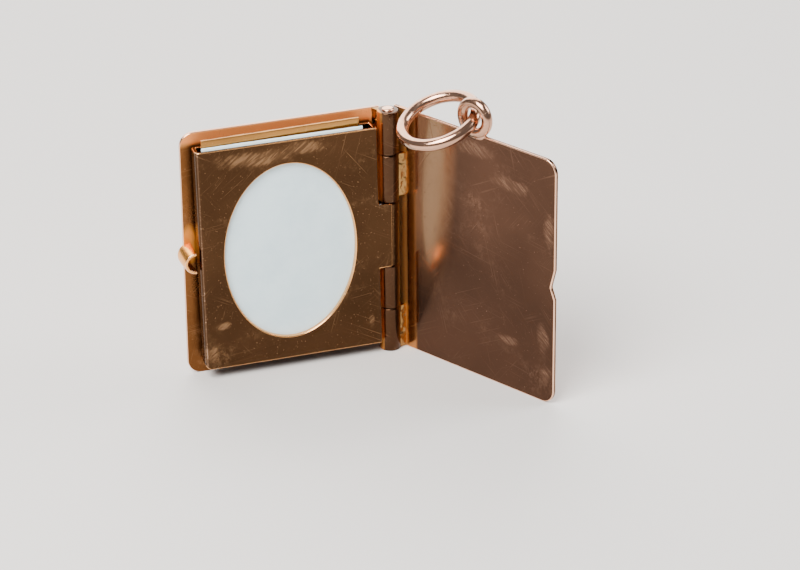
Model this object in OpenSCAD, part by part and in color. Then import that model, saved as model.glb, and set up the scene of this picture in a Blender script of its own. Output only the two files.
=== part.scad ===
// Book locket standing open on its bottom edges, in millimetres, +Z up.
// The origin is the foot of the hinge pin. The back cover runs towards -X, and its
// picture page faces -Y. The front cover is drawn shut and then turned open.

/* [Covers] */
// Height of both covers, along the hinge
cover_h = 22; // [21:0.5:24]
// Width of the back cover, from the hinge axis to its free edge
back_w = 17.5; // [17.45:0.05:18.5]
// Width of the front cover, from the hinge axis to its free edge
front_w = 17.05; // [16.9:0.05:17.2]
// Thickness of the sheet of both covers
cover_t = 0.35; // [0.3:0.05:0.45]
// Radius of the free corners of the covers
corner_r = 1.2; // [0.6:0.1:2]
// Distance from the hinge axis to the inner face of the back cover
back_gap = 0.9; // [0.88:0.01:1]
// Distance from the hinge axis to the inner face of the front cover
front_gap = 1; // [0.98:0.01:1.1]
// Angle between the covers as the locket stands
open_angle = 120; // [95:1:140]

/* [Hinge] */
// Outer radius of the knuckles
barrel_r = 0.9; // [0.8:0.01:0.92]
// Radius of the hinge pin
pin_r = 0.5; // [0.4:0.01:0.55]
// Radial clearance of the knuckles on the pin
pin_play = 0.04; // [0.02:0.01:0.08]
// Gap between one knuckle and the next
knuckle_play = 0.06; // [0.04:0.01:0.12]
// Height of the domed pin head above the covers
pin_head = 0.22; // [0.1:0.01:0.3]

/* [Page] */
// Outer depth of the page pocket
page_depth = 1.55; // [1.4:0.01:1.56]
// Distance from the hinge axis to the front face of the page
page_front = 0.9; // [0.85:0.01:0.92]
// Distance from the hinge axis to the left side of the page, at its top
page_w = 16.65; // [16.2:0.05:16.7]
// Thickness of the folded sheet of the page
page_t = 0.3; // [0.2:0.05:0.35]
// Height of the page's bottom edge above the bottom of the covers
page_low = 1; // [0.8:0.1:1.5]
// Height of the page's top edge
page_high = 20.9; // [20:0.1:21]
// Half width of the oval window
oval_rx = 5.6; // [5:0.1:6]
// Half height of the oval window
oval_rz = 7.9; // [7:0.1:8.2]

/* [Catch and notch] */
// How far the catch stands out beyond the free edge
catch_out = 0.45; // [0.3:0.05:0.6]
// Thickness of the catch strip
catch_t = 0.28; // [0.2:0.02:0.35]
// Depth of the thumb notch in the front cover
notch_d = 0.4; // [0.2:0.05:0.6]
// Width of the thumb notch
notch_w = 2.7; // [2:0.1:3.5]

/* [Bail eye and jump ring] */
// Distance of the bail eye from the hinge axis
eye_s = 8.4; // [8.2:0.05:8.6]
// Radius of the eye's wire at its centre line
eye_r = 1.29; // [1.27:0.01:1.4]
// Radius of the wire that the eye is bent from
eye_wire = 0.45; // [0.4:0.01:0.46]
// Radius of the jump ring at its centre line
ring_r = 3.17; // [3.15:0.01:3.4]
// Radius of the jump ring's wire
ring_wire = 0.51; // [0.45:0.01:0.52]
// Angle by which the jump ring has dropped towards the inside of the cover
ring_drop = 20; // [15:1:24]

/* [Hidden] */
$fn = 64;

// The knuckles from the bottom up: the leaf that carries each one, and its two ends
// as shares of the cover's height
LEAF = 0;
LOW = 1;
HIGH = 2;
KNUCKLES = [
    ["front", 0, 4 / 22],
    ["back", 4 / 22, 8 / 22],
    ["page", 8 / 22, 13.85 / 22],
    ["front", 13.85 / 22, 18.15 / 22],
    ["back", 18.15 / 22, 1]
];

cut = 1;                                // how far cutting shapes run past a face
bore_r = pin_r + pin_play;
mid_z = cover_h / 2;

// Where the sheets end beside the barrel, and the solder that joins them to it
back_start = 0.45;
front_start = -0.3;
bridge_far = 0.85;
bridge_near = -0.1;
bridge_in = 0.3;
bridge_bite = 0.05;

// Page pocket, which hangs a little askew: its foot is nearer to the hinge than its top
page_right = 1.25;
page_skew = 0.013;
page_back = page_depth - page_front;
fold_r = 0.42;
page_corner_r = 0.5;
oval_x = -(page_right + page_w) / 2;
oval_z = (page_low + page_high) / 2 - 0.05;
oval_points = 96;

// Paper and plate in the pocket
paper_t = 0.18;
paper_play = 0.04;
paper_left = page_w - page_t - 0.32;
paper_right = 2.35;
paper_high = page_high + 0.15;
plate_t = 0.28;
plate_left = page_w - page_t - 0.36;
plate_right = 2.5;
plate_high = page_high + 0.75;
plate_lean = 1.1;
plate_play = 0.05;

// Catch: half a tube that stays clear of the page's left side
catch_reach = page_w + 0.15;
catch_r = back_w + catch_out - catch_reach;
catch_end = 0.87;

// Bail eye and its solder foot
eye_y = -(front_gap + cover_t / 2);
eye_z = cover_h + eye_r + 0.05;
foot_r = 0.75;
foot_t = 0.12;
foot_z = cover_h - 0.25;

// The jump ring lies over the cover's top edge at rest_s and hangs in the eye
rest_s = 2.5;
rest_gap = 0.13;
rest_z = cover_h + ring_wire + rest_gap;
hang_gap = 0.04;
hang_z = eye_z - hang_gap;
chord = [eye_s - rest_s, hang_z - rest_z];
chord_tilt = atan2(chord[1], chord[0]);
ring_off = sqrt(ring_r * ring_r - chord * chord / 4);

// Stands a flat outline upright, its thickness running from y to y + t
module standing(y, t) {
    translate([0, y + t, 0]) rotate([90, 0, 0]) linear_extrude(t) children();
}

// Outline of a cover: square at the hinge, round at the two free corners
module cover_outline(w, start) {
    r = corner_r;
    translate([r - w, 0]) square([w - r - start, cover_h]);
    translate([-w, r]) square([r + 0.01, cover_h - 2 * r]);
    for (z = [r, cover_h - r]) translate([r - w, z]) circle(r);
}

function knuckle_low(row) = row[LOW] == 0 ? 0 : row[LOW] * cover_h + knuckle_play / 2;
function knuckle_high(row) = row[HIGH] == 1 ? cover_h : row[HIGH] * cover_h - knuckle_play / 2;

// The knuckles of one leaf, still solid
module knuckles(leaf) {
    for (row = KNUCKLES) if (row[LEAF] == leaf)
        translate([0, 0, knuckle_low(row)])
            cylinder(r = barrel_r, h = knuckle_high(row) - knuckle_low(row));
}

// The solder between a leaf's knuckles and its sheet, between y0 and y1
module bridges(leaf, y0, y1) {
    for (row = KNUCKLES) if (row[LEAF] == leaf)
        translate([-bridge_far, y0, knuckle_low(row)])
            cube([bridge_far - bridge_near, y1 - y0, knuckle_high(row) - knuckle_low(row)]);
}

module pin_bore() {
    translate([0, 0, -cut]) cylinder(r = bore_r, h = cover_h + 2 * cut);
}

// A round wire bent to a closed ring round the Y axis
module wire_ring(r, wire) {
    rotate([90, 0, 0]) rotate_extrude() translate([r, 0]) circle(wire, $fn = 32);
}

// Half disc that bulges out past the free edge, around the middle of the cover
module catch_outline(r) {
    intersection() {
        translate([-catch_reach, mid_z]) circle(r);
        translate([-catch_reach - catch_r, mid_z - catch_r]) square([catch_r, 2 * catch_r]);
    }
}

// Half a tube that reaches from the back cover towards the front cover
module edge_catch() {
    standing(back_gap, cover_t) catch_outline(catch_r);
    standing(-catch_end, catch_end + back_gap) difference() {
        catch_outline(catch_r);
        translate([-catch_reach, mid_z]) circle(catch_r - catch_t);
    }
}

module back_cover() {
    color("rosybrown") difference() {
        union() {
            standing(back_gap, cover_t) cover_outline(back_w, back_start);
            knuckles("back");
            bridges("back", bridge_in, back_gap + bridge_bite);
            edge_catch();
        }
        pin_bore();
    }
}

// Shallow V in the free edge, where a thumbnail opens the cover
module thumb_notch() {
    standing(-front_gap - cover_t - cut, cover_t + 2 * cut) polygon([
        [-front_w - cut, mid_z + notch_w / 2 + cut],
        [-front_w, mid_z + notch_w / 2],
        [-front_w + notch_d, mid_z - 0.25],
        [-front_w, mid_z - notch_w / 2],
        [-front_w - cut, mid_z - notch_w / 2 - cut]
    ]);
}

module front_cover() {
    color("rosybrown") rotate([0, 0, open_angle]) {
        difference() {
            union() {
                standing(-front_gap - cover_t, cover_t) cover_outline(front_w, front_start);
                knuckles("front");
                bridges("front", -front_gap - bridge_bite, -bridge_in);
            }
            pin_bore();
            thumb_notch();
        }
        translate([-eye_s, eye_y, eye_z]) wire_ring(eye_r, eye_wire);
        translate([-eye_s, -front_gap + foot_t, foot_z]) rotate([90, 0, 0])
            cylinder(r = foot_r, h = foot_t + cover_t / 2);
    }
}

// Leans a part of the page in its own plane
module askew() {
    multmatrix([[1, 0, -page_skew, page_skew * page_high], [0, 1, 0, 0], [0, 0, 1, 0]]) children();
}

// Plan of the pocket's outside, with both folds on the left rounded
module pocket_plan() {
    left = fold_r - page_w;
    translate([left, -page_front]) square([-page_right - left, page_depth]);
    translate([-page_w, fold_r - page_front]) square([fold_r + 0.01, page_depth - 2 * fold_r]);
    for (y = [fold_r - page_front, page_back - fold_r]) translate([left, y]) circle(fold_r);
}

// Front outline of the pocket, with its lower free corner rounded
module pocket_outline() {
    r = page_corner_r;
    translate([r - page_w, page_low]) square([page_w - page_right - r, page_high - page_low]);
    translate([-page_w, page_low + r]) square([r + 0.01, page_high - page_low - r]);
    translate([r - page_w, page_low + r]) circle(r);
}

module pocket_space() {
    translate([page_t - page_w, page_t - page_front, page_low + page_t])
        cube([page_w - page_right - 2 * page_t, page_depth - 2 * page_t, page_high]);
}

module oval_window() {
    standing(-page_front - cut, cut + page_t + 0.01) translate([oval_x, oval_z]) polygon([
        for (i = [0 : oval_points - 1])
            [oval_rx * cos(360 * i / oval_points), oval_rz * sin(360 * i / oval_points)]
    ]);
}

// Strip of the page's front sheet that wraps the middle knuckle
module page_tab() {
    for (row = KNUCKLES) if (row[LEAF] == "page")
        translate([-page_right - 0.1, -page_front, knuckle_low(row)])
            cube([page_right + 0.1, page_t, knuckle_high(row) - knuckle_low(row)]);
}

module page_frame() {
    color("goldenrod") difference() {
        union() {
            askew() difference() {
                intersection() {
                    translate([0, 0, page_low]) linear_extrude(page_high - page_low) pocket_plan();
                    standing(-page_front, page_depth) pocket_outline();
                }
                pocket_space();
                oval_window();
            }
            page_tab();
            knuckles("page");
        }
        pin_bore();
    }
}

module picture_paper() {
    color("aliceblue")
        translate([-paper_left, page_t - page_front + paper_play, page_low + page_t + paper_play])
            cube([paper_left - paper_right, paper_t, paper_high - page_low - page_t]);
}

module backing_plate() {
    color("darkgoldenrod")
        translate([
            -plate_left,
            page_t - page_front + paper_play + paper_t + plate_play,
            page_low + page_t + paper_play
        ])
            rotate([0, 0, plate_lean])
                cube([plate_left - plate_right, plate_t, plate_high - page_low - page_t]);
}

// The pin stands flush below and ends in a low dome above
module hinge_pin() {
    dome_r = (pin_r * pin_r + pin_head * pin_head) / (2 * pin_head);
    color("tan") {
        cylinder(r = pin_r, h = cover_h);
        intersection() {
            translate([0, 0, cover_h + pin_head - dome_r]) sphere(dome_r);
            translate([0, 0, cover_h - 0.01]) cylinder(r = pin_r, h = pin_head + cut);
        }
    }
}

module jump_ring() {
    color("rosybrown") rotate([0, 0, open_angle])
        translate([-(eye_s + rest_s) / 2, eye_y, (hang_z + rest_z) / 2])
            rotate([0, chord_tilt, 0]) rotate([-ring_drop, 0, 0])
                translate([0, ring_off, 0]) rotate([90, 0, 0]) wire_ring(ring_r, ring_wire);
}

back_cover();
front_cover();
page_frame();
picture_paper();
backing_plate();
hinge_pin();
jump_ring();
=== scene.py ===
# %% [markdown]
# # A gold book locket
# The locket stands open on the bottom edges of its covers, like a tiny book. It is a few
# sheets of gold, five knuckles on one pin, a wire eye and a wire ring. Sheet gold
# is all about its edges and its reflections, so every piece gets soft bright edges and a
# polished but worn surface. The first cell loads the measured model that all pieces fit.

# %% Load the frame
from math import cos, pi, radians, sin, sqrt

import bmesh
import bpy
from mathutils import Matrix, Vector, noise


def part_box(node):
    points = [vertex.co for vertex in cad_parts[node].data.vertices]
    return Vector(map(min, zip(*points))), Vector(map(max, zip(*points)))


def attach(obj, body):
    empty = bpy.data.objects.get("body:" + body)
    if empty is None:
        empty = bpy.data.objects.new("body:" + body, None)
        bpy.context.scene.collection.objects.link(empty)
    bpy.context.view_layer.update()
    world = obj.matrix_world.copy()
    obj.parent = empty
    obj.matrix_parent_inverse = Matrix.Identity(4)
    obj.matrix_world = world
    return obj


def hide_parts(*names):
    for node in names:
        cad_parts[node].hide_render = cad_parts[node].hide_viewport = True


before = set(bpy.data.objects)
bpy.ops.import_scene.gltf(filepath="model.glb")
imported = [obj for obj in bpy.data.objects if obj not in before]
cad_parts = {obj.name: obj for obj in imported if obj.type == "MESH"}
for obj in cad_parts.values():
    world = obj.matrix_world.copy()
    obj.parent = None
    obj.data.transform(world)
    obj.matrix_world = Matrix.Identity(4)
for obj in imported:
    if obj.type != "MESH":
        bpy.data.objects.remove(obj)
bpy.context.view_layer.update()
MM = 0.001

# %% [markdown]
# ## Sizes
# The sizes are the maker's: sheet thicknesses, wire sizes and gaps in millimetres. Most whole
# widths and heights come from the model's own boxes, so that a piece can't drift from it.

# %% Read the main sizes from the model
def node_box(name):
    """Lowest and highest corner of a node, in millimetres."""
    low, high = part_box(name)
    return [v / MM for v in low], [v / MM for v in high]


OPEN_ANGLE = 120
COVER_T, CORNER_R = 0.35, 1.2
# How far the covers' inner faces lie behind and before the pin's axis when shut.
BACK_INNER, FRONT_INNER = 0.9, 1.0
BARREL_R, PIN_R = 0.9, 0.5
COVER_H = node_box("back_cover")[1][2]
FRONT_W = 17.05
CATCH_OUT = 0.45
BACK_W = -node_box("back_cover")[0][0] - CATCH_OUT
print("covers", COVER_H, "high,", round(BACK_W, 2), "and", FRONT_W, "wide")

# %% [markdown]
# ## Shared mesh helpers
# Most pieces are flat sheets cut to an outline. The outline is a short list of lines and
# arcs in the XZ plane, and a helper gives it a thickness along Y. A Bevel modifier then
# softens each edge, and gives the narrow bevel faces a second material: on worn gold the
# edges are rubbed brighter than the flats.

# %% Outlines, solids and bevels
def arc(x, z, r, start, end, steps=8):
    """Points on an arc, with the angles in degrees."""
    turn = [radians(start + (end - start) * i / steps) for i in range(steps + 1)]
    return [(x + r * cos(a), z + r * sin(a)) for a in turn]


def new_piece(name, bm, *materials):
    """A mesh object at the origin from a bmesh in millimetres."""
    bmesh.ops.scale(bm, vec=(MM, MM, MM), verts=bm.verts)
    bmesh.ops.recalc_face_normals(bm, faces=bm.faces)
    mesh = bpy.data.meshes.new(name)
    bm.to_mesh(mesh)
    bm.free()
    for m in materials:
        mesh.materials.append(m)
    piece = bpy.data.objects.new(name, mesh)
    bpy.context.scene.collection.objects.link(piece)
    return piece


def prism(outline, y_low, y_high, far_outline=None):
    """A bmesh of an XZ outline with a thickness along Y; the far end may have its own."""
    bm = bmesh.new()
    rings = [[bm.verts.new((x, y, z)) for x, z in plan]
             for plan, y in ((outline, y_low), (far_outline or outline, y_high))]
    bm.faces.new(rings[0])
    bm.faces.new(list(reversed(rings[1])))
    n = len(outline)
    for i in range(n):
        j = (i + 1) % n
        bm.faces.new([rings[0][i], rings[1][i], rings[1][j], rings[0][j]])
    return bm


def applied(piece):
    """Replace a piece's mesh by what its modifiers make of it."""
    graph = bpy.context.evaluated_depsgraph_get()
    mesh = bpy.data.meshes.new_from_object(piece.evaluated_get(graph), depsgraph=graph)
    piece.modifiers.clear()
    piece.data = mesh
    return piece


def soften(piece, width=0.05, segments=3, angle=32, clamp=True):
    """Bevel the sharp edges, the bevels with the second material, and shade smoothly."""
    bevel = piece.modifiers.new("soft edges", "BEVEL")
    bevel.width = width * MM
    bevel.segments = segments
    bevel.limit_method = "ANGLE"
    bevel.angle_limit = radians(angle)
    bevel.miter_outer = "MITER_ARC"
    bevel.use_clamp_overlap = clamp
    bevel.material = 1 if len(piece.data.materials) > 1 else -1
    piece.data.shade_smooth()
    weights = piece.modifiers.new("flat faces", "WEIGHTED_NORMAL")
    weights.keep_sharp = False
    weights.weight = 80
    return applied(piece)


def placed(piece, matrix):
    """Move the mesh, not the object, so that the object stays at the origin."""
    piece.data.transform(matrix)
    return piece


def joined(name, *pieces):
    """One object from several, with their materials kept."""
    bpy.ops.object.select_all(action="DESELECT")
    for p in pieces:
        p.select_set(True)
    bpy.context.view_layer.objects.active = pieces[0]
    bpy.ops.object.join()
    pieces[0].name = name
    return pieces[0]


OPENED = Matrix.Rotation(radians(OPEN_ANGLE), 4, "Z")

# %% [markdown]
# ## Wear, as shader groups
# Old polished gold shows hairlines from years of rubbing, a scatter of small pits, and
# cloudy patches where the polish has gone. All the golds share these effects, so each is a
# node group that puts out masks only. A hairline is a noise pattern stretched many times
# along one direction and cut to thin bands; several directions are laid over each other.

# %% Helpers for node groups
def group_socket(tree, name, kind, in_out, value=None):
    """Add an input or output to a group, with its default value if it has one."""
    socket = tree.interface.new_socket(name=name, in_out=in_out, socket_type=kind)
    if value is not None:
        socket.default_value = value
    return socket


def add_node(tree, kind, **values):
    """A node, with its properties and its inputs set by name."""
    node = tree.nodes.new(kind)
    for key, value in values.items():
        if hasattr(node, key):
            setattr(node, key, value)
        else:
            node.inputs[key.replace("_", " ").capitalize()].default_value = value
    return node


def maths(tree, operation, a, b=None, clamp=False):
    """A math node; a and b are sockets or numbers."""
    node = tree.nodes.new("ShaderNodeMath")
    node.operation = operation
    node.use_clamp = clamp
    for i, v in enumerate([a, b]):
        if v is None:
            continue
        if isinstance(v, (int, float)):
            node.inputs[i].default_value = v
        else:
            tree.links.new(v, node.inputs[i])
    return node.outputs[0]


def ramp(tree, fac, low, high, a=0.0, b=1.0):
    """Rescale a value from low..high to a..b, clamped."""
    node = tree.nodes.new("ShaderNodeMapRange")
    node.interpolation_type = "SMOOTHSTEP"
    for name, value in (("From Min", low), ("From Max", high), ("To Min", a), ("To Max", b)):
        node.inputs[name].default_value = value
    tree.links.new(fac, node.inputs["Value"])
    return node.outputs["Result"]


def noise_at(tree, vector, scale, detail=2.0, rough=0.5):
    """A noise between 0 and 1 at a place."""
    node = add_node(tree, "ShaderNodeTexNoise", scale=scale, detail=detail, roughness=rough)
    tree.links.new(vector, node.inputs["Vector"])
    return node.outputs["Fac"]


def mapped(tree, vector, scale, turn=(0, 0, 0), shift=(0, 0, 0)):
    """A place after scaling, turning (in degrees) and shifting."""
    node = tree.nodes.new("ShaderNodeMapping")
    node.inputs["Scale"].default_value = scale
    node.inputs["Rotation"].default_value = [radians(a) for a in turn]
    node.inputs["Location"].default_value = shift
    tree.links.new(vector, node.inputs["Vector"])
    return node.outputs["Vector"]


def new_group(name, inputs, outputs):
    """An empty group with its sockets; returns the tree, its input and its output node."""
    tree = bpy.data.node_groups.new(name, "ShaderNodeTree")
    for label, kind, value in inputs:
        group_socket(tree, label, kind, "INPUT", value)
    for label, kind in outputs:
        group_socket(tree, label, kind, "OUTPUT")
    return tree, tree.nodes.new("NodeGroupInput"), tree.nodes.new("NodeGroupOutput")


FLOAT = "NodeSocketFloat"
VECTOR = "NodeSocketVector"

# %% Hairlines, pits and cloudy patches
# Each run of scratches: its tilt in degrees, and how the noise is squeezed along and across.
SCRATCH_RUNS = ((38, 150, 9000), (47, 240, 11000), (-28, 130, 9500),
                (75, 110, 8400), (-52, 260, 10500), (8, 100, 9800))


def hairline_group():
    """Short thin scratches in several directions, in clusters: a mask between 0 and 1."""
    tree, given, out = new_group(
        "hairlines", [("Vector", VECTOR, None), ("Density", FLOAT, 0.5)], [("Mask", FLOAT)])
    where = given.outputs["Vector"]
    limit = maths(tree, "SUBTRACT", 0.76, maths(tree, "MULTIPLY", given.outputs["Density"], 0.14))
    total = None
    for tilt, long, fine in SCRATCH_RUNS:
        turned = mapped(tree, where, (1, 1, 1), (0, tilt, 0), (0.01 * tilt, 0, 0))
        band = noise_at(tree, mapped(tree, turned, (long, 120, fine)), 1.0, 0.0)
        over = maths(tree, "MULTIPLY", maths(tree, "SUBTRACT", band, limit), 6.0, clamp=True)
        crowd = noise_at(tree, mapped(tree, turned, (300, 300, 300)), 1.0, 2.0)
        over = maths(tree, "MULTIPLY", over, ramp(tree, crowd, 0.46, 0.72))
        total = over if total is None else maths(tree, "MAXIMUM", total, over)
    tree.links.new(total, out.inputs["Mask"])
    return tree


def pit_group():
    """A scatter of pits, bright specks, and cloudy patches where the polish is rubbed away."""
    tree, given, out = new_group(
        "pits and patches", [("Vector", VECTOR, None), ("Amount", FLOAT, 0.5)],
        [("Pits", FLOAT), ("Specks", FLOAT), ("Patches", FLOAT)])
    where = given.outputs["Vector"]
    fine = noise_at(tree, mapped(tree, where, (3600,) * 3), 1.0, 2.0, 0.6)
    limit = maths(tree, "SUBTRACT", 0.74, maths(tree, "MULTIPLY", given.outputs["Amount"], 0.14))
    pits = maths(tree, "MULTIPLY", maths(tree, "SUBTRACT", fine, limit), 9.0, clamp=True)
    dust = noise_at(tree, mapped(tree, where, (7400,) * 3, (0, 0, 0), (3, 1, 2)), 1.0, 1.0)
    over = maths(tree, "SUBTRACT", dust, maths(tree, "ADD", limit, 0.045))
    specks = maths(tree, "MULTIPLY", over, 11.0, clamp=True)
    cloud = noise_at(tree, mapped(tree, where, (170, 170, 260)), 1.0, 5.0, 0.62)
    crumb = noise_at(tree, mapped(tree, where, (2300, 2300, 1500)), 1.0, 4.0, 0.75)
    patch = maths(tree, "MULTIPLY", ramp(tree, cloud, 0.53, 0.72), ramp(tree, crumb, 0.42, 0.6))
    tree.links.new(pits, out.inputs["Pits"])
    tree.links.new(specks, out.inputs["Specks"])
    tree.links.new(patch, out.inputs["Patches"])
    return tree


def how_far(tree, where, centre, reach):
    """The distance from a centre as a share of the reach; both are sockets or numbers."""
    for operation, other in (("SUBTRACT", centre), ("DIVIDE", reach), ("LENGTH", None)):
        node = tree.nodes.new("ShaderNodeVectorMath")
        node.operation = operation
        tree.links.new(where, node.inputs[0])
        if isinstance(other, tuple):
            node.inputs[1].default_value = other
        elif other:
            tree.links.new(other, node.inputs[1])
        where = node.outputs[0]
    return node.outputs["Value"]


def rub_group():
    """One rubbed spot: a soft ellipse round a centre, broken up by a fine noise."""
    tree, given, out = new_group(
        "rubbed spot",
        [("Vector", VECTOR, None), ("Centre", VECTOR, (0, 0, 0)), ("Reach", VECTOR, (1, 1, 1))],
        [("Mask", FLOAT)])
    where = given.outputs["Vector"]
    away = how_far(tree, where, given.outputs["Centre"], given.outputs["Reach"])
    ragged = noise_at(tree, mapped(tree, where, (900, 900, 900)), 1.0, 4.0, 0.7)
    edge = maths(tree, "ADD", away, maths(tree, "MULTIPLY", ragged, 1.5))
    strokes = mapped(tree, mapped(tree, where, (1, 1, 1), (0, 38, 0)), (700, 700, 5600))
    grain = noise_at(tree, strokes, 1.0, 2.0, 0.6)
    mask = maths(tree, "MULTIPLY", ramp(tree, edge, 1.05, 1.75, 1.0, 0.0),
                 ramp(tree, grain, 0.4, 0.66, 0.25, 1.0))
    tree.links.new(mask, out.inputs["Mask"])
    return tree


RUBBED = rub_group()
HAIRLINES = hairline_group()
PITS = pit_group()
print("shader groups", HAIRLINES.name, PITS.name)

# %% [markdown]
# ## Golds
# Real gold alloys are metals in Blender's sense: fully metallic, with their colour in the
# reflection. The locket's rose and yellow golds differ only in colour and in how worn they
# are, so one function makes them all. Scratches and patches raise the roughness and lift
# the colour a little; pits darken it. The bump heights are a few thousandths of a
# millimetre, as real ones are.
#
# Some places get painted light: soft ellipses of a brighter colour and, mostly, more roughness,
# on the back cover above the page and by the catch, the knuckles' flanks, and the front cover
# beside the hinge. Above the page the back cover has a painted glow, and by the catch a
# painted reflection of the catch. The knuckles' flanks have a painted reflection of the page's
# wall, and the front cover painted reflections of the page and the hinge.

# %% Gold materials
def new_material(name):
    """A material, its node tree and its shader."""
    material = bpy.data.materials.new(name)
    material.use_nodes = True
    return material, material.node_tree, material.node_tree.nodes["Principled BSDF"]


def add_relief(tree, shader, height, strength, distance):
    """Bump from a height, where 1 stands for the distance in millimetres."""
    relief = tree.nodes.new("ShaderNodeBump")
    relief.inputs["Strength"].default_value = strength
    relief.inputs["Distance"].default_value = distance * MM
    tree.links.new(height, relief.inputs["Height"])
    tree.links.new(relief.outputs["Normal"], shader.inputs["Normal"])


def mixed(tree, fac, a, b):
    """A colour between a and b; a may be a socket or a colour, b is a colour."""
    mix = tree.nodes.new("ShaderNodeMix")
    mix.data_type = "RGBA"
    if isinstance(a, tuple):
        mix.inputs["A"].default_value = (*a, 1)
    else:
        tree.links.new(a, mix.inputs["A"])
    mix.inputs["B"].default_value = (*b, 1)
    tree.links.new(fac, mix.inputs["Factor"])
    return mix.outputs["Result"]


def gold(name, colour, worn, rough, hairs, pits, bump, turn=0, spots=(), lumps=0, painted_light=()):
    """A worn metal. turn lines the pattern up with a leaf; spots are rubbed (x, z, rx, rz);
    lumps are the blisters of molten solder. Each entry of the last argument is painted light,
    a soft ellipse (x, z, rx, rz, colour, dullness)."""
    material, tree, shader = new_material(name)
    shader.inputs["Metallic"].default_value = 1.0
    where = tree.nodes.new("ShaderNodeTexCoord").outputs["Object"]
    where = mapped(tree, where, (1, 1, 1), (0, 0, -turn))
    hair = add_node(tree, "ShaderNodeGroup", node_tree=HAIRLINES)
    hair.inputs["Density"].default_value = hairs
    spot = add_node(tree, "ShaderNodeGroup", node_tree=PITS)
    spot.inputs["Amount"].default_value = pits
    for node in (hair, spot):
        tree.links.new(where, node.inputs["Vector"])
    rubbed = maths(tree, "MAXIMUM", maths(tree, "MULTIPLY", hair.outputs["Mask"], 0.4),
                   maths(tree, "MULTIPLY", spot.outputs["Patches"], 0.3))
    specks = maths(tree, "MULTIPLY", spot.outputs["Specks"], 0.6)
    rubbed = maths(tree, "MAXIMUM", rubbed, specks)
    for x, z, rx, rz in spots:
        rub = add_node(tree, "ShaderNodeGroup", node_tree=RUBBED)
        rub.inputs["Centre"].default_value = (x * MM, -1.0 * MM, z * MM)
        rub.inputs["Reach"].default_value = (rx * MM, 1.5 * MM, rz * MM)
        tree.links.new(where, rub.inputs["Vector"])
        mask = maths(tree, "MULTIPLY", rub.outputs["Mask"], 0.6)
        rubbed = maths(tree, "MAXIMUM", rubbed, mask)

    tone = noise_at(tree, mapped(tree, where, (130, 130, 130)), 1.0, 3.0)
    base = mixed(tree, ramp(tree, tone, 0.35, 0.65), colour, tuple(c * 0.78 for c in colour))
    dull = 0.0
    for x, z, rx, rz, other, duller in painted_light:
        away = how_far(tree, where, (x * MM, 0, z * MM), (rx * MM, 1, rz * MM))
        inside = ramp(tree, away, 0.5, 1.0, 1.0, 0.0)
        base = mixed(tree, inside, base, other)
        dull = maths(tree, "ADD", maths(tree, "MULTIPLY", inside, duller), dull)
    light = mixed(tree, rubbed, base, worn)
    pitted = maths(tree, "MULTIPLY", spot.outputs["Pits"], 0.75)
    tree.links.new(mixed(tree, pitted, light, BROWN), shader.inputs["Base Color"])
    rougher = maths(tree, "ADD", maths(tree, "MULTIPLY", rubbed, 0.3), rough)
    rougher = maths(tree, "ADD", rougher, dull)
    cloudy = maths(tree, "MULTIPLY", ramp(tree, tone, 0.3, 0.75), 0.07)
    tree.links.new(maths(tree, "ADD", rougher, cloudy, clamp=True), shader.inputs["Roughness"])

    wavy = noise_at(tree, mapped(tree, where, (260, 260, 260)), 1.0, 2.0)
    height = maths(tree, "SUBTRACT", maths(tree, "MULTIPLY", wavy, 1.6),
                   maths(tree, "ADD", hair.outputs["Mask"], spot.outputs["Pits"]))
    if lumps:
        blister = noise_at(tree, mapped(tree, where, (2100, 2100, 2100)), 1.0, 1.0)
        height = maths(tree, "ADD", height, maths(tree, "MULTIPLY", blister, lumps))
    add_relief(tree, shader, height, bump, 0.008)
    return material


BROWN = (0.08, 0.035, 0.015)
ROSE_WORN = (0.95, 0.62, 0.46)
YELLOW_WORN = (1.0, 0.74, 0.46)
PAGE_SPOTS = ((-11.6, 19.7, 4.6, 0.9), (-7.4, 20.1, 2.4, 0.7), (-15.7, 2.4, 0.8, 1.2),
              (-14.8, 4.9, 0.8, 0.4), (-1.9, 3.2, 0.4, 0.8))
COVER_SPOTS = ((-8.6, 20.6, 2.4, 0.8), (-12.5, 18.6, 2.6, 0.8), (-16.4, 15.5, 0.7, 2.2),
               (-15.9, 5.8, 0.8, 1.6), (-16.2, 2.6, 0.7, 1.1), (-12.2, 4.4, 1.4, 0.5))
# A reach far beyond the locket makes a strip of an ellipse.
ENDLESS = 900
# Painted light on the back cover's inner face: a painted glow in a band above the page, and a
# painted reflection of the catch beside it; both are rougher as well.
BACK_PAINTED_LIGHT = ((-9, 22, ENDLESS, 1.4, (1.0, 0.42, 0.13), 0.34),
              (-16.95, 12.0, 0.9, 2.1, (0.85, 0.32, 0.05), 0.16))
# Painted reflection of the page's wall on the knuckles' flank, with more roughness.
KNUCKLE_PAINTED_REFLECTION = ((-0.96, 11, 0.32, ENDLESS, (0.75, 0.3, 0.07), 0.22),)
# Painted reflections on the front cover's inner face: a lighter patch near the hinge for the
# page's reflection, and two strips beside the hinge for the knuckles' reflection.
COVER_PAINTED_REFLECTIONS = ((-3.3, 20, 3.6, 15.5, (0.3, 0.145, 0.075), 0),
               (-1.6, 11, 0.66, ENDLESS, (0.45, 0.19, 0.06), 0.06),
               (-0.68, 11, 0.6, ENDLESS, (0.8, 0.36, 0.1), 0.35))

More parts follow.
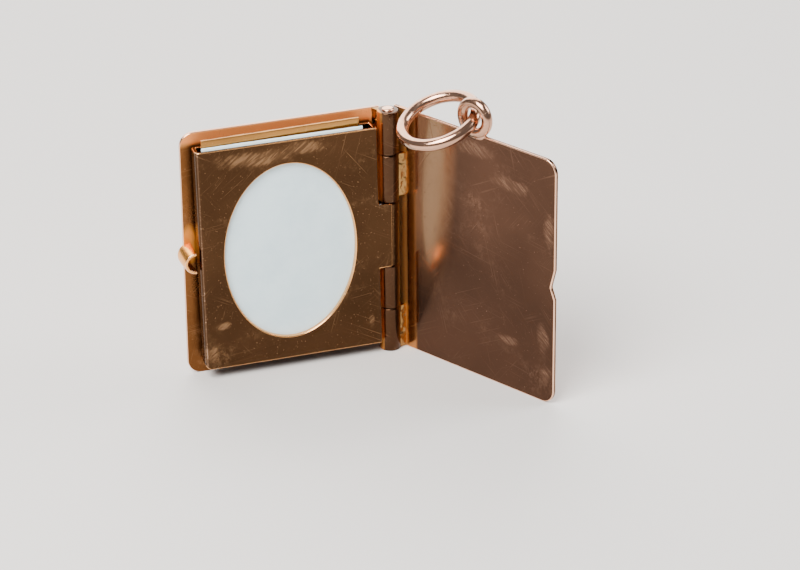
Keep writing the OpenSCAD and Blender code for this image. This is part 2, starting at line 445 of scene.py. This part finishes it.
# After the two colours come the roughness, the hairlines, the pits and the bump.
rose_gold = gold("rose_gold", (0.62, 0.35, 0.23), (0.88, 0.6, 0.46), 0.12, 0.7, 0.6, 0.8)
# The back cover's inner face: far darker than the rose gold outside, as painted shade for the dark
# surroundings that it reflects.
inner_gold = gold("rose_gold_inner", (0.18, 0.07, 0.021), (0.6, 0.3, 0.14),
                  0.26, 0.4, 0.4, 0.5, painted_light=BACK_PAINTED_LIGHT)
rose_edge = gold("rose_gold_edge", (1.0, 0.58, 0.38), ROSE_WORN, 0.18, 0.2, 0.2, 0.3)
# The knuckles: far darker than rose gold, as painted shade for the dark surroundings that they
# reflect.
hinge_gold = gold("rose_gold_hinge", (0.075, 0.037, 0.02), (0.36, 0.21, 0.13),
                  0.2, 0.4, 0.4, 0.4, painted_light=KNUCKLE_PAINTED_REFLECTION)
# The front cover's inner face: far darker than rose gold, as painted shade for the dark
# surroundings that it reflects.
mirror_gold = gold("rose_gold_mirror", (0.082, 0.041, 0.025), (0.25, 0.14, 0.09),
                   0.08, 0.5, 0.45, 0.3, OPEN_ANGLE, COVER_SPOTS, painted_light=COVER_PAINTED_REFLECTIONS)
# The page: far darker than yellow gold, as painted shade for the dark surroundings that it
# reflects.
page_gold = gold("yellow_gold_page", (0.064, 0.031, 0.0138), (0.36, 0.2, 0.1),
                 0.19, 0.4, 0.55, 0.5, spots=PAGE_SPOTS)
yellow_gold = gold("yellow_gold", (0.42, 0.2, 0.055), (0.85, 0.52, 0.24), 0.2, 0.4, 0.3, 0.4)
solder = gold("solder", (0.36, 0.2, 0.07), (1.0, 0.66, 0.34), 0.16, 0.2, 0.5, 0.9, lumps=9)
# Painted light: the page's walls towards the hinge are this much lighter gold, for the knuckle
# beside them to reflect.
wall_gold = gold("yellow_gold_wall", (0.8, 0.4, 0.13), ROSE_WORN, 0.34, 0.3, 0.3, 0.4)
# The fold on the page's free side: rubbed, and lighter than the page as a painted highlight.
rim_gold = gold("yellow_gold_rim", (0.13, 0.072, 0.042), (0.95, 0.6, 0.4), 0.26, 0.5, 0.9, 0.6)
bright_edge = gold("yellow_gold_edge", (1.0, 0.50, 0.20), YELLOW_WORN, 0.2, 0.2, 0.2, 0.3)
catch_gold = gold("yellow_gold_catch", (1.0, 0.43, 0.08), YELLOW_WORN, 0.26, 0.3, 0.4, 0.6)
print("golds made")

# %% [markdown]
# ## Paper
# The paper behind the window is thick, matt and pale blue, with the mottling of an old
# photographic mount. It is a plain diffuse surface, a soft noise in its colour and a fine
# bump for the fibres.

# %% Paper
def paper_stuff(name, colour, shade, fibre):
    """A matt surface between two colours; fibre is how fine its bump is."""
    material, tree, shader = new_material(name)
    shader.inputs["Roughness"].default_value = 0.85
    shader.inputs["Specular IOR Level"].default_value = 0.25
    where = tree.nodes.new("ShaderNodeTexCoord").outputs["Object"]
    mottle = noise_at(tree, mapped(tree, where, (420, 420, 420)), 1.0, 6.0, 0.65)
    blend = mixed(tree, ramp(tree, mottle, 0.35, 0.7), colour, shade)
    tree.links.new(blend, shader.inputs["Base Color"])
    fibres = noise_at(tree, mapped(tree, where, (fibre, fibre, fibre * 0.6)), 1.0, 4.0, 0.6)
    add_relief(tree, shader, fibres, 0.35, 0.03)
    return material


blue_paper = paper_stuff("blue_paper", (0.74, 0.91, 0.96), (0.67, 0.85, 0.91), 2600)

# %% [markdown]
# ## Covers
# A cover is a sheet with two round corners at its free edge. The front cover also has a
# shallow notch for a thumbnail. Both are cut square at the hinge, where the knuckles are
# soldered on.

# %% The two cover sheets
def cover_outline(width, hinge_x, notch=None):
    """From the hinge along the bottom, up the free edge and back along the top."""
    r = CORNER_R
    points = [(hinge_x, 0)]
    points += arc(r - width, r, r, 270, 180)
    points += notch or []
    points += arc(r - width, COVER_H - r, r, 180, 90)
    points.append((hinge_x, COVER_H))
    return points


NOTCH_LOW, NOTCH_DEEP, NOTCH_HIGH, NOTCH_D = 9.65, 10.75, 12.35, 0.4
notch = [(-FRONT_W, NOTCH_LOW)]
notch += arc(-FRONT_W + NOTCH_D - 0.5, NOTCH_DEEP, 0.5, -22, 18, 4)
notch.append((-FRONT_W, NOTCH_HIGH))
BACK_START = -0.45
FRONT_START = 0.3


def cover_sheet(name, outline, y_low, *materials):
    """A sheet with soft edges, whose side towards the reader has the third material."""
    sheet = new_piece(name, prism(outline, y_low, y_low + COVER_T), *materials)
    soften(sheet, 0.09)
    for face in sheet.data.polygons:
        if face.normal.y < -0.9:
            face.material_index = 2
    print(name, len(sheet.data.polygons), "faces")
    return sheet


back_sheet = cover_sheet("back_sheet", cover_outline(BACK_W, BACK_START), BACK_INNER,
                         rose_gold, rose_edge, inner_gold)
front_sheet = cover_sheet("front_sheet", cover_outline(FRONT_W, FRONT_START, notch),
                          -FRONT_INNER - COVER_T, mirror_gold, rose_edge, rose_gold)

# %% [markdown]
# ## Knuckles
# The five knuckles are one shape repeated: a short tube, rounded at both rims. One unit
# knuckle, a millimetre long, is spun from a profile. A Geometry Nodes tree then puts a copy
# on each point of a leaf, stretched to the length that the point carries, so all three
# leaves share one tree.

# %% The unit knuckle and its tree
def spun(name, profile, material, steps=48):
    """A closed body of revolution round Z from (radius, height) points, axis to axis."""
    bm = bmesh.new()
    rings = []
    for r, z in profile:
        if r == 0:
            rings.append([bm.verts.new((0, 0, z))])
            continue
        rings.append([bm.verts.new((r * cos(2 * pi * i / steps), r * sin(2 * pi * i / steps), z))
                      for i in range(steps)])
    for low, high in zip(rings, rings[1:]):
        for i in range(steps):
            j = (i + 1) % steps
            corners = {low[i % len(low)]: 0, low[j % len(low)]: 0,
                       high[j % len(high)]: 0, high[i % len(high)]: 0}
            bm.faces.new(list(corners))
    return new_piece(name, bm, material)


# The rim's rounding: across in millimetres, and up as a share of the knuckle's length.
RIM, RIM_SHARE = 0.1, 0.024
unit_profile = [(0, -0.5), (PIN_R + 0.05, -0.5), (BARREL_R - RIM, -0.5)]
unit_profile += [(BARREL_R - RIM + RIM * sin(radians(a)),
                  -0.5 + RIM_SHARE * (1 - cos(radians(a)))) for a in (30, 60, 90)]
unit_profile += [(r, -z) for r, z in reversed(unit_profile)]
unit_knuckle = spun("unit_knuckle", unit_profile, rose_gold)
unit_knuckle.data.shade_smooth()


def knuckle_tree():
    """Puts the unit knuckle on each point, as long as the point's own length says."""
    tree = bpy.data.node_groups.new("knuckles on a leaf", "GeometryNodeTree")
    group_socket(tree, "Geometry", "NodeSocketGeometry", "INPUT")
    group_socket(tree, "Knuckle", "NodeSocketObject", "INPUT")
    group_socket(tree, "Material", "NodeSocketMaterial", "INPUT")
    group_socket(tree, "Geometry", "NodeSocketGeometry", "OUTPUT")
    given = tree.nodes.new("NodeGroupInput")
    out = tree.nodes.new("NodeGroupOutput")
    info = tree.nodes.new("GeometryNodeObjectInfo")
    length = add_node(tree, "GeometryNodeInputNamedAttribute", data_type="FLOAT")
    length.inputs["Name"].default_value = "length"
    stretch = tree.nodes.new("ShaderNodeCombineXYZ")
    stretch.inputs["X"].default_value = 1
    stretch.inputs["Y"].default_value = 1
    copies = tree.nodes.new("GeometryNodeInstanceOnPoints")
    real = tree.nodes.new("GeometryNodeRealizeInstances")
    paint = tree.nodes.new("GeometryNodeSetMaterial")
    link = tree.links.new
    link(given.outputs["Geometry"], copies.inputs["Points"])
    link(given.outputs["Knuckle"], info.inputs["Object"])
    link(info.outputs["Geometry"], copies.inputs["Instance"])
    link(length.outputs["Attribute"], stretch.inputs["Z"])
    link(stretch.outputs["Vector"], copies.inputs["Scale"])
    link(copies.outputs["Instances"], real.inputs["Geometry"])
    link(real.outputs["Geometry"], paint.inputs["Geometry"])
    link(given.outputs["Material"], paint.inputs["Material"])
    link(paint.outputs["Geometry"], out.inputs["Geometry"])
    return tree


KNUCKLE_TREE = knuckle_tree()


def set_input(modifier, label, value):
    """Set a Geometry Nodes input by its socket's identifier."""
    for item in modifier.node_group.interface.items_tree:
        if item.item_type == "SOCKET" and item.in_out == "INPUT" and item.name == label:
            modifier[item.identifier] = value


def knuckles(name, spans, material):
    """The knuckles of one leaf, each given by its lower and upper end, with bright rims."""
    mesh = bpy.data.meshes.new(name)
    mesh.from_pydata([(0, 0, (low + high) / 2 * MM) for low, high in spans], [], [])
    lengths = mesh.attributes.new("length", "FLOAT", "POINT")
    for item, (low, high) in zip(lengths.data, spans):
        item.value = high - low
    piece = bpy.data.objects.new(name, mesh)
    bpy.context.scene.collection.objects.link(piece)
    modifier = piece.modifiers.new("knuckles", "NODES")
    modifier.node_group = KNUCKLE_TREE
    set_input(modifier, "Knuckle", unit_knuckle)
    set_input(modifier, "Material", material)
    applied(piece)
    piece.data.materials.append(rose_edge)
    for face in piece.data.polygons:
        if abs(face.normal.z) > 0.35:
            face.material_index = 1
    return piece


# Where one knuckle ends and the next begins, and the play that each has at its ends.
LEVELS = (4, 8, 13.85, 18.15)
PLAY = 0.03
front_low, back_low = (0, LEVELS[0] - PLAY), (LEVELS[0] + PLAY, LEVELS[1] - PLAY)
PAGE_KNUCKLE = (LEVELS[1] + PLAY, LEVELS[2] - PLAY)
front_high, back_high = (LEVELS[2] + PLAY, LEVELS[3] - PLAY), (LEVELS[3] + PLAY, COVER_H)
back_knuckles = knuckles("back_knuckles", [back_low, back_high], hinge_gold)
page_knuckle = knuckles("page_knuckle", [PAGE_KNUCKLE], page_gold)
front_knuckles = knuckles("front_knuckles", [front_low, front_high], hinge_gold)
bpy.data.objects.remove(unit_knuckle)
print("knuckles", [len(p.data.polygons) for p in (back_knuckles, page_knuckle, front_knuckles)])

# %% [markdown]
# ## Solder between sheet and knuckles
# Each knuckle is joined to its sheet by a run of solder, which fills the corner with a
# hollow curve. It is a stack of slices along Z with a concave side, and a noise dents that
# side a little, as solder sets with a few hollows.

# %% Fillets of solder
SLICE, DENT = 0.12, 0.12


def fillet(name, spans, sheet_y, reach, material):
    """Solder from the sheet's inner face at sheet_y to the barrel, hollow on its free side."""
    side = 1 if sheet_y > 0 else -1
    near = [(-0.2, side * 0.5), (0.1, side * 0.6), (0.1, sheet_y + side * 0.05),
            (-reach, sheet_y + side * 0.05)]
    bm = bmesh.new()
    for low, high in spans:
        rings = []
        slices = round((high - low) / SLICE)
        for k in range(slices + 1):
            z = low + (high - low) * k / slices
            ring = [bm.verts.new((x, y, z)) for x, y in near]
            for t in [i / 10 for i in range(11)]:
                x = -reach + (reach - 0.7) * t
                y = sheet_y * (1 - t) ** 1.6 + side * 0.32 * t
                dent = DENT * abs(noise.noise(Vector((x * 2.2, y * 2.2 + side, z * 1.7))))
                ring.append(bm.verts.new((x + dent, y + side * dent * 0.7, z)))
            rings.append(ring)
        bm.faces.new(rings[0])
        bm.faces.new(list(reversed(rings[-1])))
        n = len(rings[0])
        for a, b in zip(rings, rings[1:]):
            for i in range(n):
                j = (i + 1) % n
                bm.faces.new([a[i], b[i], b[j], a[j]])
    piece = new_piece(name, bm, material)
    piece.data.shade_smooth()
    return soften(piece, 0.03, 2)


back_fillet = fillet("back_fillet", [(4.05, 7.95), (18.2, COVER_H - 0.05)],
                     BACK_INNER, 1.15, solder)
front_fillet = fillet("front_fillet", [(14.3, 18.1)], -FRONT_INNER, 1.12, solder)
low_fillet = fillet("low_fillet", [(0.05, 3.95)], -FRONT_INNER, 0.92, solder)

# %% [markdown]
# ## The bowed catch
# The catch is half a tube that reaches forward from the back cover's free edge, round side
# out. When the locket shuts, the front cover's edge meets its tip. It is a small grid of
# points on a bowed surface, given its thickness by Solidify.

# %% Catch
CATCH_Z, CATCH_REACH, CATCH_T = 11.0, 16.8, 0.24
CATCH_R = BACK_W + CATCH_OUT - CATCH_REACH
CATCH_BACK, CATCH_TIP = 1.22, -0.85


def catch_point(u, v):
    """u runs 0..1 round the half tube from the top, v runs 0..1 from the cover to the tip."""
    turn = radians(92 + 176 * u)
    r = (CATCH_R - 0.02) * (1 - 0.1 * v * v)
    return (-CATCH_REACH - 0.02 + r * cos(turn), CATCH_BACK + (CATCH_TIP - CATCH_BACK) * v,
            CATCH_Z + r * sin(turn) * (1 - 0.08 * v))


bm = bmesh.new()
ACROSS, ALONG = 24, 12
grid = [[bm.verts.new(catch_point(i / ACROSS, j / ALONG)) for j in range(ALONG + 1)]
        for i in range(ACROSS + 1)]
for i in range(ACROSS):
    for j in range(ALONG):
        bm.faces.new([grid[i][j], grid[i + 1][j], grid[i + 1][j + 1], grid[i][j + 1]])
catch = new_piece("catch", bm, catch_gold, rose_edge)
middle_face = catch.data.polygons[len(catch.data.polygons) // 2]
if middle_face.normal.x > 0:
    catch.data.flip_normals()
wall = catch.modifiers.new("thickness", "SOLIDIFY")
wall.thickness = CATCH_T * MM
wall.offset = -1
applied(catch)
soften(catch, 0.05, 3, 50)

# %% [markdown]
# ## The picture page
# The page is one sheet folded into a flat pocket, open at the top, with an oval window in
# its front. Drawing the pocket's plan as two loops, outside and inside, and raising them
# gives the folded walls. The window and the rounded lower corner are cut with Booleans,
# which suits a shape that a jeweller also cuts with a saw.

# %% Pocket, window and corner
PAGE_W, PAGE_RIGHT, PAGE_FRONT, PAGE_DEPTH, PAGE_T = 16.65, 1.25, 0.9, 1.55, 0.3
PAGE_SKEW = 0.013
PAGE_LOW = node_box("page_frame")[0][2]
PAGE_HIGH = node_box("page_frame")[1][2]
OVAL_RX, OVAL_RZ = 5.6, 7.9
OVAL_X = -(PAGE_RIGHT + PAGE_W) / 2
OVAL_Z = (PAGE_LOW + PAGE_HIGH) / 2 - 0.05


def pocket_loop(inset, r_left, r_right):
    """Plan of the pocket, moved in by inset, with its corner radii."""
    left, right = inset - PAGE_W, -PAGE_RIGHT - inset
    front, back = inset - PAGE_FRONT, PAGE_DEPTH - PAGE_FRONT - inset
    return (arc(left + r_left, front + r_left, r_left, 180, 270, 6)
            + arc(right - r_right, front + r_right, r_right, 270, 360, 6)
            + arc(right - r_right, back - r_right, r_right, 0, 90, 6)
            + arc(left + r_left, back - r_left, r_left, 90, 180, 6))


def pocket():
    """Outer walls, inner walls, the rim between them and two floors."""
    bm = bmesh.new()
    outside = pocket_loop(0, 0.42, 0.08)
    inside = pocket_loop(PAGE_T, 0.14, 0.04)
    floor_z = PAGE_LOW + PAGE_T
    loops = [[bm.verts.new((x, y, z)) for x, y in plan]
             for plan, z in ((outside, PAGE_LOW), (outside, PAGE_HIGH),
                             (inside, PAGE_HIGH), (inside, floor_z))]
    n = len(outside)
    for a, b in zip(loops, loops[1:]):
        for i in range(n):
            j = (i + 1) % n
            bm.faces.new([a[i], a[j], b[j], b[i]])
    bm.faces.new(loops[0])
    bm.faces.new(list(reversed(loops[-1])))
    return bm


def carve(piece, operation, outline, y_low, y_high, far_outline=None):
    """Boolean with an upright prism of an XZ outline."""
    tool = new_piece("tool", prism(outline, y_low, y_high, far_outline))
    cut = piece.modifiers.new("cut", "BOOLEAN")
    cut.operation = operation
    cut.object = tool
    cut.solver = "EXACT"
    applied(piece)
    bpy.data.objects.remove(tool)
    return piece


page = new_piece("page", pocket(), page_gold, bright_edge, wall_gold, rim_gold)


def oval(grow):
    """The window's outline, larger all round by grow."""
    turns = [2 * pi * i / 160 for i in range(160)]
    return [(OVAL_X + (OVAL_RX + grow) * cos(a), OVAL_Z + (OVAL_RZ + grow) * sin(a))
            for a in turns]


# The window is a little wider at the front, which gives it a narrow bright chamfer.
carve(page, "DIFFERENCE", oval(0.09), -PAGE_FRONT - 0.1, -PAGE_FRONT + PAGE_T + 0.02, oval(-0.03))
LOW_R = 0.55
rounded = [(0, PAGE_HIGH + 1), (-PAGE_W - 1, PAGE_HIGH + 1), (-PAGE_W - 1, PAGE_LOW + 3)]
rounded += [(-PAGE_W, PAGE_LOW + 3)] + arc(LOW_R - PAGE_W, PAGE_LOW + LOW_R, LOW_R, 180, 270)
rounded += [(0, PAGE_LOW)]
carve(page, "INTERSECT", rounded, -3, 3)
askew = Matrix.Identity(4)
askew[0][2] = -PAGE_SKEW
askew[0][3] = PAGE_SKEW * PAGE_HIGH * MM
placed(page, askew)
tab_low, tab_high = PAGE_KNUCKLE
tab_left = -PAGE_RIGHT - 0.05
tab = [(tab_left, tab_low), (0, tab_low), (0, tab_high), (tab_left, tab_high)]
carve(page, "UNION", tab, -PAGE_FRONT, -PAGE_FRONT + PAGE_T)
# The window's edge is bright, the walls towards the hinge are lighter as painted light for the
# knuckle to reflect, and the fold on the free side is rubbed, with a painted highlight along it.
for face in page.data.polygons:
    x, z = face.center.x / MM, face.center.z / MM
    across = (x + PAGE_SKEW * (z - PAGE_HIGH) - OVAL_X) / OVAL_RX
    along = (z - OVAL_Z) / OVAL_RZ
    if abs(face.normal.y) < 0.3 and 0.9 < across ** 2 + along ** 2 < 1.05:
        face.material_index = 1
    elif face.normal.x > 0.5:
        face.material_index = 2
    elif -0.7 < face.normal.x < -0.5 and face.normal.y < -0.5:
        face.material_index = 3
# Clamping would leave no bevel beside the tiny edges that the cuts made. Without it the
# bevel swells at the tab's inner corners, and these points go back to the front face.
soften(page, 0.06, 2, 40, clamp=False)
for point in page.data.vertices:
    point.co.y = max(point.co.y, -PAGE_FRONT * MM)
print("page", len(page.data.polygons), "faces")

# %% [markdown]
# ## Paper and backing plate
# The paper fills the window and stands a little above the page, as it was never trimmed.
# Behind it a thin gold plate leans towards the back. Both are thin grids with a little
# warp, so their edges aren't ruler straight.

# %% Papers in the pocket
def warped_sheet(name, node, thick, swell, material, lean=0.0):
    """A thin sheet in the node's own box, its faces moved by a slow noise."""
    low, high = node_box(node)
    across, up = 40, 56
    bm = bmesh.new()
    rings = []
    for side in (0, 1):
        ring = []
        for i in range(across + 1):
            x = low[0] + (high[0] - low[0]) * i / across
            y = low[1] + lean * (high[1] - low[1] - thick) * i / across + thick * side
            row = []
            for j in range(up + 1):
                z = low[2] + (high[2] - low[2]) * j / up
                edge = -0.05 * abs(noise.noise(Vector((x * 0.9, 3, side)))) if j == up else 0
                wave = swell * noise.noise(Vector((x * 0.25, 7, z * 0.25)))
                row.append(bm.verts.new((x, y + wave, z + edge)))
            ring.append(row)
        rings.append(ring)
    for side, ring in enumerate(rings):
        for i in range(across):
            for j in range(up):
                bm.faces.new([ring[i][j], ring[i + 1][j], ring[i + 1][j + 1], ring[i][j + 1]])
    border = ([(i, 0) for i in range(across)] + [(across, j) for j in range(up)]
              + [(i, up) for i in range(across, 0, -1)] + [(0, j) for j in range(up, 0, -1)])
    for (i, j), (k, m) in zip(border, border[1:] + border[:1]):
        bm.faces.new([rings[0][i][j], rings[0][k][m], rings[1][k][m], rings[1][i][j]])
    return soften(new_piece(name, bm, material), 0.02, 2, 50)


paper = warped_sheet("paper", "picture_paper", 0.18, 0.02, blue_paper)
plate = warped_sheet("plate", "backing_plate", 0.28, 0.01, yellow_gold, lean=1.0)

# %% [markdown]
# ## Pin, eye and ring
# The pin is spun, with a low dome that was rubbed flat by wear. The bail eye and the jump
# ring are round wire bent to a circle. A second Geometry Nodes tree sweeps a wire round a
# circle and moves its points by a slow noise, because hand-bent wire is never quite even.

# %% Hinge pin
HEAD = 0.22
pin_profile = [(0, 0), (PIN_R - 0.05, 0), (PIN_R, 0.05), (PIN_R, COVER_H)]
pin_profile += [(PIN_R * sqrt(1 - t ** 2), COVER_H + HEAD * t ** 0.6)
                for t in (0.05, 0.15, 0.3, 0.5, 0.7, 0.85, 0.95, 0.99)]
pin_profile.append((0, COVER_H + HEAD))
pin = spun("pin", pin_profile, rose_edge, 40)
pin.data.shade_smooth()

# %% The bent wire tree
def wire_tree():
    """A wire swept round a circle in the XY plane, a little uneven."""
    tree = bpy.data.node_groups.new("bent wire", "GeometryNodeTree")
    group_socket(tree, "Geometry", "NodeSocketGeometry", "INPUT")
    for label, value in (("Ring radius", 0.003), ("Wire radius", 0.0005), ("Unevenness", 0.00002)):
        group_socket(tree, label, FLOAT, "INPUT", value)
    group_socket(tree, "Seed", FLOAT, "INPUT", 1.0)
    group_socket(tree, "Material", "NodeSocketMaterial", "INPUT")
    group_socket(tree, "Geometry", "NodeSocketGeometry", "OUTPUT")
    given = tree.nodes.new("NodeGroupInput")
    out = tree.nodes.new("NodeGroupOutput")
    path = tree.nodes.new("GeometryNodeCurvePrimitiveCircle")
    path.inputs["Resolution"].default_value = 120
    section = tree.nodes.new("GeometryNodeCurvePrimitiveCircle")
    section.inputs["Resolution"].default_value = 28
    sweep = tree.nodes.new("GeometryNodeCurveToMesh")
    where = tree.nodes.new("GeometryNodeInputPosition")
    ripple = tree.nodes.new("ShaderNodeTexNoise")
    ripple.noise_dimensions = "4D"
    ripple.inputs["Scale"].default_value = 700
    centre = tree.nodes.new("ShaderNodeVectorMath")
    centre.operation = "SUBTRACT"
    centre.inputs[1].default_value = (0.5, 0.5, 0.5)
    size = tree.nodes.new("ShaderNodeVectorMath")
    size.operation = "SCALE"
    shift = tree.nodes.new("GeometryNodeSetPosition")
    smooth = tree.nodes.new("GeometryNodeSetShadeSmooth")
    real = tree.nodes.new("GeometryNodeRealizeInstances")
    paint = tree.nodes.new("GeometryNodeSetMaterial")
    link = tree.links.new
    link(given.outputs["Ring radius"], path.inputs["Radius"])
    link(given.outputs["Wire radius"], section.inputs["Radius"])
    link(path.outputs["Curve"], sweep.inputs["Curve"])
    link(section.outputs["Curve"], sweep.inputs["Profile Curve"])
    link(sweep.outputs["Mesh"], shift.inputs["Geometry"])
    link(where.outputs["Position"], ripple.inputs["Vector"])
    link(given.outputs["Seed"], ripple.inputs["W"])
    link(ripple.outputs["Color"], centre.inputs[0])
    link(centre.outputs["Vector"], size.inputs[0])
    link(given.outputs["Unevenness"], size.inputs["Scale"])
    link(size.outputs["Vector"], shift.inputs["Offset"])
    link(shift.outputs["Geometry"], smooth.inputs["Geometry"])
    link(smooth.outputs["Geometry"], real.inputs["Geometry"])
    link(real.outputs["Geometry"], paint.inputs["Geometry"])
    link(given.outputs["Material"], paint.inputs["Material"])
    link(paint.outputs["Geometry"], out.inputs["Geometry"])
    return tree


WIRE_TREE = wire_tree()


def bent_wire(name, ring_r, wire_r, uneven, seed, material):
    """A ring of uneven wire in the XY plane, with its sizes in millimetres."""
    piece = bpy.data.objects.new(name, bpy.data.meshes.new(name))
    bpy.context.scene.collection.objects.link(piece)
    modifier = piece.modifiers.new("bent wire", "NODES")
    modifier.node_group = WIRE_TREE
    for label, value in (("Ring radius", ring_r * MM), ("Wire radius", wire_r * MM),
                         ("Unevenness", uneven * MM), ("Seed", seed)):
        set_input(modifier, label, float(value))
    set_input(modifier, "Material", material)
    return applied(piece)


# %% Bail eye with its solder foot
EYE_S, EYE_R, EYE_WIRE = 8.4, 1.29, 0.45
EYE_Y = -(FRONT_INNER + COVER_T / 2)
EYE_Z = COVER_H + EYE_R + 0.05
STAND = Matrix.Rotation(radians(90), 4, "X")
eye = bent_wire("eye", EYE_R, EYE_WIRE, 0.03, 4, rose_gold)
placed(eye, Matrix.Translation(Vector((-EYE_S, EYE_Y, EYE_Z)) * MM) @ STAND)

bm = bmesh.new()
bmesh.ops.create_uvsphere(bm, u_segments=36, v_segments=24, radius=1)
bmesh.ops.scale(bm, vec=(1.32, 0.32, 0.55), verts=bm.verts)
bmesh.ops.translate(bm, vec=(-EYE_S, EYE_Y, COVER_H - 0.05), verts=bm.verts)
foot = new_piece("foot", bm, rose_gold)
foot.data.shade_smooth()

# %% Jump ring through the eye
RING_R, RING_WIRE, RING_DROP = 3.17, 0.51, 20
REST_S, REST_Z, HANG_Z = 2.5, COVER_H + RING_WIRE + 0.13, EYE_Z - 0.04
chord = Vector((EYE_S - REST_S, HANG_Z - REST_Z))
ring_off = sqrt(RING_R ** 2 - chord.length ** 2 / 4)
middle = Vector((-(EYE_S + REST_S) / 2, EYE_Y, (HANG_Z + REST_Z) / 2)) * MM
tilt = -(chord.angle_signed(Vector((1, 0))))
ring_place = (OPENED @ Matrix.Translation(middle)
              @ Matrix.Rotation(abs(tilt), 4, "Y")
              @ Matrix.Rotation(radians(-RING_DROP), 4, "X")
              @ Matrix.Translation(Vector((0, ring_off * MM, 0))))
ring = bent_wire("ring", RING_R, RING_WIRE, 0.05, 9, rose_gold)
placed(ring, ring_place)
print("ring box", node_box("jump_ring"))

# %% [markdown]
# ## Putting the leaves together
# Each leaf moves as one, so its sheets, knuckles and solder are joined to one object that
# replaces the plain solid. The front leaf is built shut and turned open in its mesh.

# %% Join, ride and replace
back_leaf = joined("back_leaf", back_sheet, back_knuckles, back_fillet, catch)
front_leaf = joined("front_leaf", front_sheet, front_knuckles, front_fillet, low_fillet,
                    eye, foot)
placed(front_leaf, OPENED)
page_leaf = joined("page_leaf", page, page_knuckle)
for piece, node, body, finish in (
    (back_leaf, "back_cover", "back", "rose_gold"),
    (pin, "hinge_pin", "back", "rose_gold"),
    (page_leaf, "page_frame", "page", "yellow_gold"),
    (paper, "picture_paper", "page", "paper"),
    (plate, "backing_plate", "page", "yellow_gold"),
    (front_leaf, "front_cover", "front", "rose_gold_mirror"),
    (ring, "jump_ring", "ring", "rose_gold"),
):
    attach(piece, body)
    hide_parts(node)
    print(piece.name, len(piece.data.polygons), "faces on", body)

# %% [markdown]
# ## Floor, light and camera
# A plain pale floor and large soft lights show gold best: polished metal only shows what it
# reflects, so the light panels are wide and leave darker space between them. The camera
# stands where the photographer's did, worked out from the locket's own corners.

# %% Floor
def plain(name, colour, rough):
    """One even colour."""
    material, _, shader = new_material(name)
    shader.inputs["Base Color"].default_value = (*colour, 1)
    shader.inputs["Roughness"].default_value = rough
    return material


FLOOR_HALF = 600
bm = bmesh.new()
corners = [(-1, -1), (1, -1), (1, 1), (-1, 1)]
bm.faces.new([bm.verts.new((x * FLOOR_HALF, y * FLOOR_HALF, 0)) for x, y in corners])
floor = new_piece("floor", bm, plain("pale_floor", (0.64, 0.62, 0.60), 0.7))

# %% Lights
AIM = Vector((0, 0, 11)) * MM


def panel(name, place, size, energy, colour=(1, 1, 1)):
    """A square soft light that faces the locket."""
    light = bpy.data.lights.new(name, "AREA")
    light.shape = "SQUARE"
    light.size = size * MM
    light.energy = energy
    light.color = colour
    lamp = bpy.data.objects.new(name, light)
    lamp.location = Vector(place) * MM
    lamp.rotation_euler = (lamp.location - AIM).to_track_quat("Z", "Y").to_euler()
    bpy.context.scene.collection.objects.link(lamp)


panel("key", (-150, -120, 260), 200, 2.8, (1.0, 0.97, 0.94))
panel("fill", (260, -40, 190), 160, 0.8, (0.97, 0.98, 1.0))
panel("rim", (20, 260, 170), 360, 2.0, (1.0, 0.96, 0.92))
world = bpy.data.worlds.new("soft studio")
world.use_nodes = True
world.node_tree.nodes["Background"].inputs["Color"].default_value = (0.72, 0.74, 0.78, 1)
world.node_tree.nodes["Background"].inputs["Strength"].default_value = 0.36
bpy.context.scene.world = world

# %% Camera
# Degrees, then millimetres and the photo's own pixels.
AZIMUTH, ELEVATION, ROLL = -18.04, 26.95, -0.55
DISTANCE, FOCAL_PX, PHOTO_W = 293.9, 3487.3, 800
TARGET = Vector((0.91, 0, 5.69)) * MM
SENSOR = 36
az, el, roll = (radians(a) for a in (AZIMUTH, ELEVATION, ROLL))
view = Vector((-sin(az) * cos(el), cos(az) * cos(el), -sin(el)))
level = Vector((cos(az), sin(az), 0))
upright = level.cross(view)
right = cos(roll) * level + sin(roll) * upright
up = -sin(roll) * level + cos(roll) * upright
lens = bpy.data.cameras.new("camera")
lens.sensor_width = SENSOR
lens.lens = FOCAL_PX / PHOTO_W * SENSOR
lens.clip_start = 0.01
camera = bpy.data.objects.new("camera", lens)
axes = Matrix((right, up, -view)).transposed().to_4x4()
camera.matrix_world = Matrix.Translation(TARGET - view * DISTANCE * MM) @ axes
bpy.context.scene.collection.objects.link(camera)
bpy.context.scene.camera = camera

# %% [markdown]
# ## Done
# The dressed locket must fill the same box as the measured model.


print("locket built")
